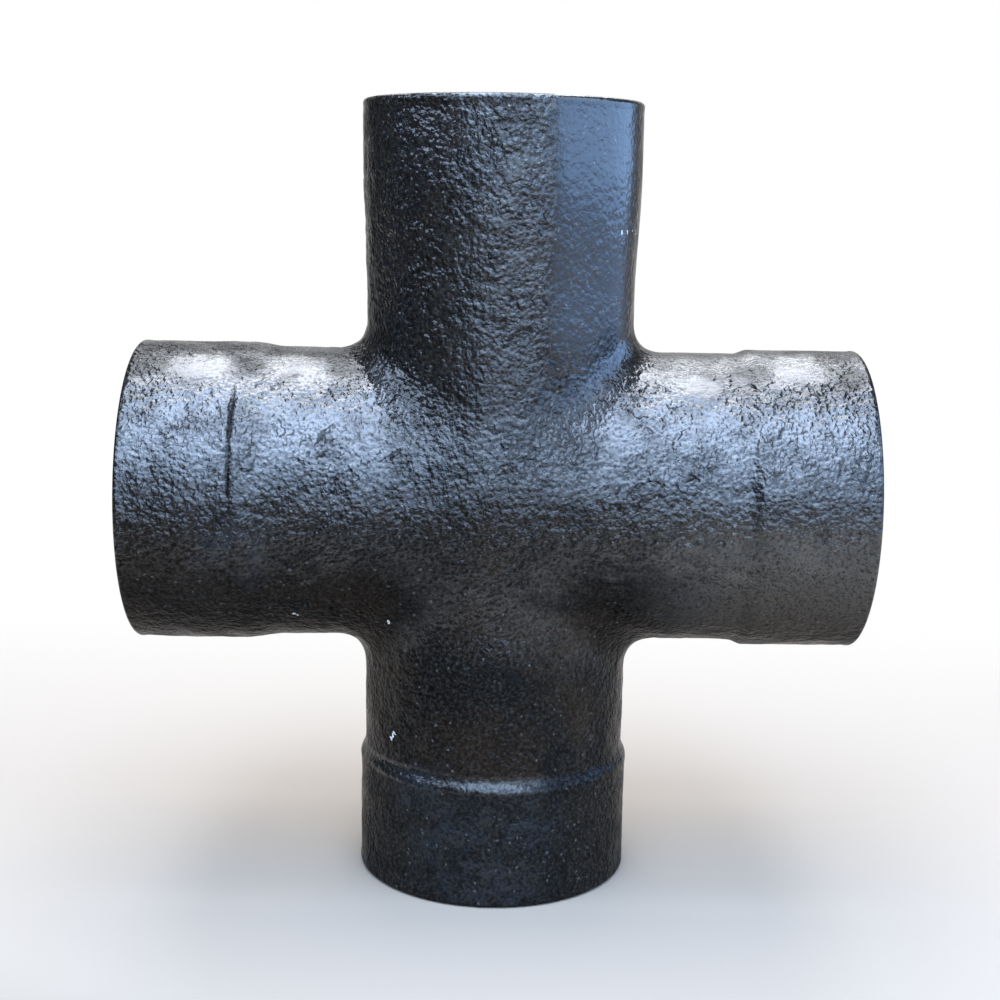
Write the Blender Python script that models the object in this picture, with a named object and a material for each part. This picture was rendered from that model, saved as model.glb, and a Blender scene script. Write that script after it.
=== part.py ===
"""A cast-iron pipe cross: one hollow casting with four plain banded ends.

Two pipes cross at right angles and share one waterway. The run lies along X and the slightly smaller
branch stands along Z. Near each end the wall swells into a low band that a coupling seats on, and a
fillet runs round the crotches where the arms meet.

The frame is in metres, with +Z up and the origin at the middle of the lower end face, on which the
casting stands. The front and back halves are alike, and so are the left and right halves, so one
quarter of the wall is modelled and mirrored.
"""

import math

import bmesh
import bpy

# Bores and walls
RUN_BORE = 0.100
BRANCH_BORE = 0.090
WALL = 0.009
BAND_RISE = 0.0017

# Lengths from the middle of the cross to an end face, and of the bands and shoulders on the arms
RUN_REACH = 0.145
BRANCH_REACH = 0.157
RUN_BAND_LENGTH = 0.044
LOWER_BAND_LENGTH = 0.047
UPPER_BAND_LENGTH = 0.027
SHOULDER_LENGTH = 0.006
UPPER_SHOULDER_LENGTH = 0.050

# Fillets and broken edges
CROTCH_RADIUS = 0.011
INNER_CROTCH_RADIUS = 0.004
RIM_RADIUS = 0.002
MOUTH_CHAMFER = 0.0015

# Finish of the bituminous coat
COAT_COLOUR = (0.020, 0.021, 0.024, 1.0)
COAT_ROUGHNESS = 0.42
COAT_METALLIC = 0.0

# Facets: quarter-turn steps, and rows along each stretch of wall
QUARTER_STEPS = 12
BODY_ROWS = 7
SHOULDER_ROWS = 4
RIM_ROWS = 3
BORE_ROWS = 6
ROW_CROWDING = 1.5

# A parabolic blend this many times wider than a fillet's radius stands as far out of a square corner
BLEND_PER_RADIUS = 1.17
SOLVER_STEPS = 44
WELD_DISTANCE = 1e-6
MIRROR_MERGE = 1e-5
SHARP_ANGLE = math.radians(40)


def blended(first, second, width):
    """The lower of two distances, with their corner rounded over the given width."""
    overlap = max(width - abs(first - second), 0.0) / width
    return min(first, second) - overlap * overlap * width / 4


def eased(share):
    """A share from 0 to 1 with a level start and a level end."""
    share = min(max(share, 0.0), 1.0)
    return share * share * (3 - 2 * share)


class Arm:
    """Half of one pipe, from the middle of the cross to its end face."""

    def __init__(self, bore, bore_across, reach, band_length, shoulder_length):
        self.bore_radius = bore / 2
        self.neck_radius = self.bore_radius + WALL
        self.band_radius = self.neck_radius + BAND_RISE
        self.reach = reach
        self.band_start = reach - band_length
        fillet_end = bore_across / 2 + WALL + BLEND_PER_RADIUS * CROTCH_RADIUS
        self.shoulder_start = max(self.band_start - shoulder_length, fillet_end)

    def skin_radius(self, along):
        """Outer radius at a distance along the arm's axis: the neck, then the shoulder, then the band."""
        climb = (along - self.shoulder_start) / (self.band_start - self.shoulder_start)
        return self.neck_radius + (self.band_radius - self.neck_radius) * eased(climb)

    def waterway_radius(self, along):
        """Inner radius at a distance along the arm's axis, which is the bore's all the way."""
        return self.bore_radius


RUN = Arm(RUN_BORE, BRANCH_BORE, RUN_REACH, RUN_BAND_LENGTH, SHOULDER_LENGTH)
LOWER = Arm(BRANCH_BORE, RUN_BORE, BRANCH_REACH, LOWER_BAND_LENGTH, SHOULDER_LENGTH)
# The upper arm swells slowly over most of its length to a shorter band
UPPER = Arm(BRANCH_BORE, RUN_BORE, BRANCH_REACH, UPPER_BAND_LENGTH, UPPER_SHOULDER_LENGTH)


class Surface:
    """Where the run and one branch arm meet, as the level of one blended distance, outside or inside."""

    def __init__(self, branch, radius_of, fillet_radius):
        self.branch = branch
        self.radius_of = radius_of
        self.width = BLEND_PER_RADIUS * fillet_radius

    def beyond(self, across, forward, up):
        """How far a point lies past the blended surface; negative within it."""
        past_run = math.hypot(forward, up) - self.radius_of(RUN, across)
        past_branch = math.hypot(across, forward) - self.radius_of(self.branch, up)
        return blended(past_run, past_branch, self.width)

    def reach_along(self, point_at):
        """The distance at which a ray, given as a function of distance, leaves the surface."""
        near, far = 0.0, 2 * max(RUN.reach, self.branch.reach)
        for _ in range(SOLVER_STEPS):
            middle = (near + far) / 2
            if self.beyond(*point_at(middle)) < 0:
                near = middle
            else:
                far = middle
        return (near + far) / 2

    def mitre_point(self, turn):
        """The surface's point on the plane through both crotch corners, turned from the front to the crotch."""
        corner = (self.radius_of(self.branch, 0.0), self.radius_of(RUN, 0.0))
        slope = math.hypot(*corner)

        def point_at(distance):
            outward = distance * math.sin(turn)
            return outward * corner[0] / slope, distance * math.cos(turn), outward * corner[1] / slope

        return point_at(self.reach_along(point_at))

    def arm_point(self, is_run, along, angle):
        """The surface's point at a distance along an arm and an angle about it, counted from the front."""

        def point_at(distance):
            aside = distance * math.sin(angle)
            ahead = distance * math.cos(angle)
            return (along, ahead, aside) if is_run else (aside, ahead, along)

        return point_at(self.reach_along(point_at))


def body_rows(surface, is_run, turn, stop, count):
    """Points from the mitre to the stop along one arm, closest together beside the mitre."""
    start = surface.mitre_point(turn)
    along, aside = (start[0], start[2]) if is_run else (start[2], start[0])
    angle = math.atan2(aside, start[1])
    points = [start]
    for row in range(1, count + 1):
        share = (row / count) ** ROW_CROWDING
        points.append(
            surface.arm_point(is_run, along + (stop - along) * share, angle + (turn - angle) * share)
        )
    return points


def ring_point(is_run, along, radius, turn):
    """A point on a ring about an arm's axis."""
    aside = radius * math.sin(turn)
    ahead = radius * math.cos(turn)
    return (along, ahead, aside) if is_run else (aside, ahead, along)


def end_rows(arm, is_run, turn):
    """Points over the band, round the outer rim, across the end face and over the mouth's chamfer."""
    rings = []
    for row in range(1, SHOULDER_ROWS + 1):
        along = arm.shoulder_start + (arm.band_start - arm.shoulder_start) * row / SHOULDER_ROWS
        rings.append((along, arm.skin_radius(along)))
    for row in range(RIM_ROWS + 1):
        angle = math.pi / 2 * row / RIM_ROWS
        rings.append(
            (
                arm.reach - RIM_RADIUS * (1 - math.sin(angle)),
                arm.band_radius - RIM_RADIUS * (1 - math.cos(angle)),
            )
        )
    rings.append((arm.reach, arm.bore_radius + MOUTH_CHAMFER))
    rings.append((arm.reach - MOUTH_CHAMFER, arm.bore_radius))
    return [ring_point(is_run, along, radius, turn) for along, radius in rings]


def wall_line(outside, inside, arm, is_run, turn):
    """One line over the wall: out along the skin from the mitre, round the end, and back along the bore."""
    skin = body_rows(outside, is_run, turn, arm.shoulder_start, BODY_ROWS)
    bore = body_rows(inside, is_run, turn, arm.reach - MOUTH_CHAMFER, BORE_ROWS)
    return skin + end_rows(arm, is_run, turn) + bore[-2::-1]


def add_wall(mesh, branch, side, is_run):
    """Adds the wall of one arm in one quadrant: the front half of its upper or lower quarter.

    side is 1 above the run's axis and -1 below it. Points are counted forward from the middle of the
    cross, so they are turned to face -Y and lifted onto the lower end face here.
    """
    arm = RUN if is_run else branch
    outside = Surface(branch, Arm.skin_radius, CROTCH_RADIUS)
    inside = Surface(branch, Arm.waterway_radius, INNER_CROTCH_RADIUS)
    lines = []
    for step in range(QUARTER_STEPS + 1):
        turn = math.pi / 2 * step / QUARTER_STEPS
        points = wall_line(outside, inside, arm, is_run, turn)
        lines.append([mesh.verts.new((x, -y, BRANCH_REACH + side * z)) for x, y, z in points])
    for line, following in zip(lines, lines[1:]):
        for row in range(len(line) - 1):
            mesh.faces.new((line[row], line[row + 1], following[row + 1], following[row]))


def coat_material():
    """Satin black bituminous paint, as brushed over rough cast iron."""
    material = bpy.data.materials.new("bituminous_coat")
    material.use_nodes = True
    shader = material.node_tree.nodes["Principled BSDF"]
    shader.inputs["Base Color"].default_value = COAT_COLOUR
    shader.inputs["Roughness"].default_value = COAT_ROUGHNESS
    shader.inputs["Metallic"].default_value = COAT_METALLIC
    return material


def build_cross():
    """Builds the front right quarter of the casting and mirrors it left and back."""
    mesh = bmesh.new()
    for branch, side in ((UPPER, 1), (LOWER, -1)):
        for is_run in (True, False):
            add_wall(mesh, branch, side, is_run)
    bmesh.ops.remove_doubles(mesh, verts=mesh.verts, dist=WELD_DISTANCE)
    bmesh.ops.recalc_face_normals(mesh, faces=mesh.faces)
    data = bpy.data.meshes.new("cross_casting")
    mesh.to_mesh(data)
    mesh.free()
    data.shade_smooth()
    data.set_sharp_from_angle(angle=SHARP_ANGLE)
    data.materials.append(coat_material())
    casting = bpy.data.objects.new("cross_casting", data)
    bpy.context.scene.collection.objects.link(casting)
    mirror = casting.modifiers.new("left_and_back", "MIRROR")
    mirror.use_axis = (True, True, False)
    mirror.merge_threshold = MIRROR_MERGE
    return casting


def main():
    for obj in list(bpy.data.objects):
        bpy.data.objects.remove(obj)
    build_cross()


main()
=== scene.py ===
"""Looks of a cast-iron pipe cross under a satin black bituminous coat.

The casting is one closed wall: the outer skin of four arms that meet in filleted crotches, four ring-shaped
end faces, and the bores behind them. It is worked out here at a spacing fine enough to carry the lumps
and wrinkles that sand moulding and a thick brushed coat leave, and it stands for the plain casting.
"""

import logging
import math
from dataclasses import dataclass, field
from enum import Enum

import bpy
import numpy as np
from mathutils import Matrix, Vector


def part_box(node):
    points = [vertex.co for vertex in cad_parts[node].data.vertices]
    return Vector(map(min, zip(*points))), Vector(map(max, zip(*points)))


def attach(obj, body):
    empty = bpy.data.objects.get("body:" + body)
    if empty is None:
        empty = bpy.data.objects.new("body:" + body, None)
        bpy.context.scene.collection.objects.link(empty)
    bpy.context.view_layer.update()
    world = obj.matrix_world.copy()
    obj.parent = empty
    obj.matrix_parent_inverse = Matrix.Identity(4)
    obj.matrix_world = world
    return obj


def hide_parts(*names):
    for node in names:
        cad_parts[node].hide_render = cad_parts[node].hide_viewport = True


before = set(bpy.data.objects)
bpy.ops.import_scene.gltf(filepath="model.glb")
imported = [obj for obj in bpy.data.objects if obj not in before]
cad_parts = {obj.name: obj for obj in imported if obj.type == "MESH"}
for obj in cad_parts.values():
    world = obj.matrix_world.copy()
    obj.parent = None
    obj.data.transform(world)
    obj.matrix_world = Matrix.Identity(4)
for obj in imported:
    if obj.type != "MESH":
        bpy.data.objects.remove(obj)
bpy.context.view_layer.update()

LOG = logging.getLogger("pipe_cross")
MM = 0.001
PHOTO_SIDE_PX = 1000


def linear_colour(hex_code: str) -> tuple[float, float, float, float]:
    """Turns an sRGB hex colour into linear light.

    Args:
        hex_code: The colour as "#rrggbb".

    Returns:
        Linear red, green and blue, and an alpha of one.
    """
    shares = [int(hex_code[start : start + 2], 16) / 255 for start in (1, 3, 5)]
    red, green, blue = (c / 12.92 if c <= 0.04045 else ((c + 0.055) / 1.055) ** 2.4 for c in shares)
    return red, green, blue, 1.0


def eased(share: np.ndarray) -> np.ndarray:
    """A share of 0 to 1 with a level start and end: 3 s squared less 2 s cubed."""
    share = np.clip(share, 0.0, 1.0)
    return share * share * (3 - 2 * share)


def blended(first: np.ndarray, second: np.ndarray, width: float) -> np.ndarray:
    """The lower of two distances, rounded where they differ by less than the width."""
    overlap = np.maximum(width - np.abs(first - second), 0.0) / width
    return np.minimum(first, second) - overlap * overlap * width / 4


class Draw(Enum):
    """The seeds of the noises, one for each kind of relief, so that no two share a lattice."""

    SWELL = 11
    LUMP = 12
    PIMPLE = 13
    WRINKLED = 14
    WRINKLE = 15
    CREASE = 16
    BEAD_PLACE = 17
    BEAD_HEIGHT = 18


class GradientNoise:
    """Smooth random relief over space, from seeded gradients at the corners of a cubic lattice."""

    CORNERS = 256
    # Brings the mixed gradients to about -1 to 1
    GAIN = 1.7

    def __init__(self, seed: Draw) -> None:
        """Draws the lattice.

        Args:
            seed: Fixes the draw, so that every run gives the same casting.
        """
        draw = np.random.default_rng(seed.value)
        self.order = draw.permutation(self.CORNERS)
        directions = draw.normal(size=(self.CORNERS, 3))
        self.gradients = directions / np.linalg.norm(directions, axis=1, keepdims=True)

    def at(self, points: np.ndarray, spacing: float) -> np.ndarray:
        """Noise of about -1 to 1 at each point.

        Each point takes, from the eight corners of its cell, the corner's gradient times the offset from
        that corner, mixed by the quintic 6 t^5 - 15 t^4 + 10 t^3 along each axis.

        Args:
            points: Places as rows of x, y, z.
            spacing: Size of a lattice cell, which is about half the wavelength of the relief.

        Returns:
            One number for each point.
        """
        scaled = points / spacing
        cell = np.floor(scaled).astype(np.int64)
        inside = scaled - cell
        fade = inside**3 * (inside * (inside * 6 - 15) + 10)
        total = np.zeros(len(points))
        for corner in np.ndindex(2, 2, 2):
            key = self.order[(cell[:, 0] + corner[0]) % self.CORNERS]
            key = self.order[(key + cell[:, 1] + corner[1]) % self.CORNERS]
            key = self.order[(key + cell[:, 2] + corner[2]) % self.CORNERS]
            weight = np.prod(np.where(np.array(corner) == 1, fade, 1 - fade), axis=1)
            total += weight * np.einsum("ij,ij->i", self.gradients[key], inside - np.array(corner))
        return total * self.GAIN


@dataclass(frozen=True)
class Arm:
    """Half of one pipe of the cross, from the middle to its end face, in metres."""

    bore_radius: float
    wall: float
    band_rise: float
    reach: float
    band_length: float
    shoulder_length: float

    @property
    def neck_radius(self) -> float:
        """Outer radius between the crotch and the shoulder."""
        return self.bore_radius + self.wall

    @property
    def band_radius(self) -> float:
        """Outer radius of the end band."""
        return self.neck_radius + self.band_rise

    @property
    def band_start(self) -> float:
        """Distance from the middle at which the band begins."""
        return self.reach - self.band_length

    @property
    def shoulder_start(self) -> float:
        """Distance from the middle at which the neck begins to swell."""
        return self.band_start - self.shoulder_length

    def skin_radius(self, along: np.ndarray) -> np.ndarray:
        """Outer radius along the arm: the neck's, eased up to the band's over the shoulder."""
        climb = (along - self.shoulder_start) / self.shoulder_length
        return self.neck_radius + self.band_rise * eased(climb)

    def waterway_radius(self, along: np.ndarray) -> np.ndarray:
        """Inner radius along the arm, which is the bore's all the way."""
        return np.full_like(along, self.bore_radius)


class Side(Enum):
    """The two sides of the casting's wall."""

    SKIN = "skin"
    WATERWAY = "waterway"


@dataclass(frozen=True)
class WallSide:
    """One side of the wall in one quadrant: where the run meets an upper or lower branch arm."""

    run: Arm
    branch: Arm
    side: Side
    fillet_radius: float

    # A parabolic blend this many times wider than a fillet's radius stands as far out of a square corner
    BLEND_PER_RADIUS = 1.17
    SOLVER_STEPS = 40
    # Above one, the rows lie closer together beside the mitre
    ROW_CROWDING = 1.12

    def radius(self, arm: Arm, along: np.ndarray) -> np.ndarray:
        """Radius of an arm on this side of the wall."""
        return arm.skin_radius(along) if self.side is Side.SKIN else arm.waterway_radius(along)

    def beyond(self, across: np.ndarray, forward: np.ndarray, up: np.ndarray) -> np.ndarray:
        """Distance past the surface: the lower of the distances past the two pipes, blended at the crotch.

        Args:
            across: Places along the run.
            forward: Distances in front of both axes.
            up: Places along the branch.

        Returns:
            The distances, which are negative within the surface.
        """
        past_run = np.hypot(forward, up) - self.radius(self.run, across)
        past_branch = np.hypot(across, forward) - self.radius(self.branch, up)
        return blended(past_run, past_branch, self.BLEND_PER_RADIUS * self.fillet_radius)

    def where_rays_leave(self, starts: np.ndarray, outward: np.ndarray) -> np.ndarray:
        """Finds, by halving, where rays leave the surface.

        Args:
            starts: Where each ray starts, as x, forward, up in the last axis.
            outward: Each ray's direction, in the same shape.

        Returns:
            The points at which the blended distance is nought.
        """
        near = np.zeros(starts.shape[:-1])
        far = np.full(starts.shape[:-1], 2 * max(self.run.reach, self.branch.reach))
        for _ in range(self.SOLVER_STEPS):
            middle = (near + far) / 2
            place = starts + outward * middle[..., None]
            within = self.beyond(place[..., 0], place[..., 1], place[..., 2]) < 0
            near = np.where(within, middle, near)
            far = np.where(within, far, middle)
        return starts + outward * ((near + far) / 2)[..., None]

    def mitre(self, turns: np.ndarray) -> np.ndarray:
        """The line that both arms share, on the plane through the crotch's corners.

        Args:
            turns: Angles from the front, one for each point.

        Returns:
            Points as rows of x, forward, up.
        """
        nothing = np.zeros(1)
        corner = np.array([self.radius(self.branch, nothing)[0], self.radius(self.run, nothing)[0]])
        corner = corner / np.linalg.norm(corner)
        outward = np.stack([np.sin(turns) * corner[0], np.cos(turns), np.sin(turns) * corner[1]], axis=-1)
        return self.where_rays_leave(np.zeros_like(outward), outward)

    def body(self, on_run: bool, turns: np.ndarray, stop: float, rows: int) -> np.ndarray:
        """Grid over turn and distance, from the mitre to the stop along one arm.

        Along each line the distance goes evenly from the mitre's to the stop, and the angle about the arm
        from the mitre's to the line's own turn.

        Args:
            on_run: True for the run, False for the branch arm.
            turns: Angles about the arm from the front, one for each line.
            stop: Distance along the arm at which the grid ends.
            rows: Steps between the mitre and the stop.

        Returns:
            Points as (line, row, x-forward-up), the mitre's included.
        """
        start = self.mitre(turns)
        first, aside = (start[:, 0], start[:, 2]) if on_run else (start[:, 2], start[:, 0])
        angle = np.arctan2(aside, start[:, 1])
        share = np.linspace(0, 1, rows + 1)[None, :] ** self.ROW_CROWDING
        along = first[:, None] + (stop - first[:, None]) * share
        about = angle[:, None] + (turns - angle)[:, None] * share
        nothing = np.zeros_like(along)
        if on_run:
            starts = np.stack([along, nothing, nothing], axis=-1)
            outward = np.stack([nothing, np.cos(about), np.sin(about)], axis=-1)
        else:
            starts = np.stack([nothing, nothing, along], axis=-1)
            outward = np.stack([np.sin(about), np.cos(about), nothing], axis=-1)
        return self.where_rays_leave(starts, outward)


@dataclass
class CrossCasting:
    """The one-piece casting: its sizes, the mesh of its wall and the relief on it."""

    node: str = "cross_casting"
    run_bore: float = 100 * MM
    branch_bore: float = 90 * MM
    wall: float = 9 * MM
    band_rise: float = 1.7 * MM
    run_band_length: float = 44 * MM
    lower_band_length: float = 47 * MM
    upper_band_length: float = 27 * MM
    shoulder_length: float = 6 * MM
    upper_shoulder_length: float = 50 * MM
    crotch_radius: float = 11 * MM
    inner_crotch_radius: float = 4 * MM
    rim_radius: float = 2 * MM
    mouth_chamfer: float = 1.5 * MM

    # Spacing of the mesh: lines in a quarter turn, and the length of a row on the skin and in the bore
    quarter_lines: int = 58
    skin_row: float = 1.9 * MM
    shoulder_row: float = 0.85 * MM
    shoulder_margin: float = 3.4 * MM
    band_row: float = 1.6 * MM
    bore_rows: int = 9
    rim_rows: int = 4
    sharp_angle_deg: float = 40.0

    run: Arm = field(init=False)
    upper: Arm = field(init=False)
    lower: Arm = field(init=False)
    middle_height: float = field(init=False)

    def __post_init__(self) -> None:
        """Takes the reach of each arm from the plain casting's box."""
        low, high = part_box(self.node)
        run_reach = float(high[0] - low[0]) / 2
        branch_reach = float(high[2] - low[2]) / 2
        self.middle_height = float(high[2] + low[2]) / 2
        shared = (self.wall, self.band_rise)
        self.run = Arm(self.run_bore / 2, *shared, run_reach, self.run_band_length, self.shoulder_length)
        branch = (self.branch_bore / 2, *shared, branch_reach)
        self.lower = Arm(*branch, self.lower_band_length, self.shoulder_length)
        self.upper = Arm(*branch, self.upper_band_length, self.upper_shoulder_length)

    def end_profile(self, arm: Arm) -> np.ndarray:
        """Profile over an arm's end, turned about its axis.

        It climbs the shoulder, runs along the band, rounds the rim in a quarter circle, crosses the flat end
        face and drops over the chamfer of the mouth.

        Args:
            arm: The arm that ends there.

        Returns:
            Points as (distance along the arm, radius).
        """
        slow = arm is self.upper
        climb_end = arm.band_start + (0.0 if slow else self.shoulder_margin)
        climb_row = self.band_row if slow else self.shoulder_row
        climb_rows = math.ceil((climb_end - arm.shoulder_start) / climb_row)
        climb = np.linspace(arm.shoulder_start, climb_end, climb_rows + 1)[1:]
        rim_start = arm.reach - self.rim_radius
        band_rows = math.ceil((rim_start - climb_end) / self.band_row)
        band = np.linspace(climb_end, rim_start, band_rows + 1)[1:]
        skin = np.concatenate([climb, band])
        angle = np.linspace(0, math.pi / 2, self.rim_rows + 1)[1:]
        rim_along = rim_start + self.rim_radius * np.sin(angle)
        rim_radius = arm.band_radius - self.rim_radius * (1 - np.cos(angle))
        rim = np.stack([rim_along, rim_radius], axis=-1)
        mouth = [
            [arm.reach, arm.bore_radius + self.mouth_chamfer],
            [arm.reach - self.mouth_chamfer, arm.bore_radius],
        ]
        return np.concatenate([np.stack([skin, arm.skin_radius(skin)], axis=-1), rim, mouth])

    def quadrant_sheet(self, branch: Arm, on_run: bool) -> np.ndarray:
        """One arm's wall in a quadrant: out along the skin, over the end and back along the bore.

        Args:
            branch: The upper or the lower arm, whose crotch with the run lies in the quadrant.
            on_run: True for the run's share of the quadrant, False for the branch arm's.

        Returns:
            Points as (line, row, x-forward-up), all from nought up.
        """
        arm = self.run if on_run else branch
        turns = np.linspace(0, math.pi / 2, self.quarter_lines + 1)
        skin = WallSide(self.run, branch, Side.SKIN, self.crotch_radius)
        bore = WallSide(self.run, branch, Side.WATERWAY, self.inner_crotch_radius)
        skin_rows = math.ceil(arm.shoulder_start / self.skin_row)
        outer = skin.body(on_run, turns, arm.shoulder_start, skin_rows)
        inner = bore.body(on_run, turns, arm.reach - self.mouth_chamfer, self.bore_rows)
        profile = self.end_profile(arm)
        along = np.broadcast_to(profile[None, :, 0], (len(turns), len(profile)))
        aside = profile[None, :, 1] * np.sin(turns)[:, None]
        ahead = profile[None, :, 1] * np.cos(turns)[:, None]
        parts = (along, ahead, aside) if on_run else (aside, ahead, along)
        return np.concatenate([outer, np.stack(parts, axis=-1), inner[:, -2::-1]], axis=1)

    def wall_mesh(self) -> tuple[np.ndarray, np.ndarray]:
        """Mirrors the four sheets of a corner into all the quadrants and joins them along their seams.

        Returns:
            The points in the part's frame, and the quads that join them, facing outwards.
        """
        points: list[np.ndarray] = []
        quads: list[np.ndarray] = []
        count = 0
        for branch, up in ((self.upper, 1.0), (self.lower, -1.0)):
            for on_run in (True, False):
                sheet = self.quadrant_sheet(branch, on_run)
                lines, rows = sheet.shape[:2]
                index = np.arange(lines * rows).reshape(lines, rows)
                ring = (index[:-1, :-1], index[:-1, 1:], index[1:, 1:], index[1:, :-1])
                faces = np.stack(ring, axis=-1).reshape(-1, 4)
                for across in (1.0, -1.0):
                    for ahead in (1.0, -1.0):
                        points.append(sheet.reshape(-1, 3) * (across, -ahead, up))
                        flips = (across < 0) + (ahead < 0) + (up < 0) + (not on_run)
                        quads.append((faces[:, ::-1] if flips % 2 else faces) + count)
                        count += lines * rows
        return self.joined(np.concatenate(points), np.concatenate(quads))

    def joined(self, points: np.ndarray, quads: np.ndarray) -> tuple[np.ndarray, np.ndarray]:
        """Makes one point of those that share a micrometre, and lifts the cross onto its lower end.

        Args:
            points: All the sheets' points, counted from the middle of the cross.
            quads: The quads between them.

        Returns:
            The points that are left, in the part's frame, and the quads between those.
        """
        micrometres = np.round(points / (MM / 1000)).astype(np.int64)
        _, first, index = np.unique(micrometres, axis=0, return_index=True, return_inverse=True)
        placed = points[first] + (0, 0, self.middle_height)
        return placed, index.reshape(-1)[quads]

    def build(self) -> bpy.types.Object:
        """Builds the casting's mesh, roughens it and puts it into the scene.

        Returns:
            The casting, without its coat.
        """
        points, quads = self.wall_mesh()
        height = CastRelief(self, points - (0, 0, self.middle_height)).heights()
        points = points + vertex_normals(points, quads) * height[:, None]
        mesh = bpy.data.meshes.new("coated_casting")
        mesh.from_pydata(points, [], quads.tolist())
        mesh.validate()
        mesh.shade_smooth()
        mesh.set_sharp_from_angle(angle=math.radians(self.sharp_angle_deg))
        casting = bpy.data.objects.new("coated_casting", mesh)
        bpy.context.scene.collection.objects.link(casting)
        return casting


@dataclass(frozen=True)
class PaintPool:
    """Where the paint ran together and dried smooth: places where it starts and where it is whole."""

    across: tuple[float, float] = (14 * MM, 20 * MM)
    up: tuple[float, float] = (203 * MM, 226 * MM)


POOL = PaintPool()


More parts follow.
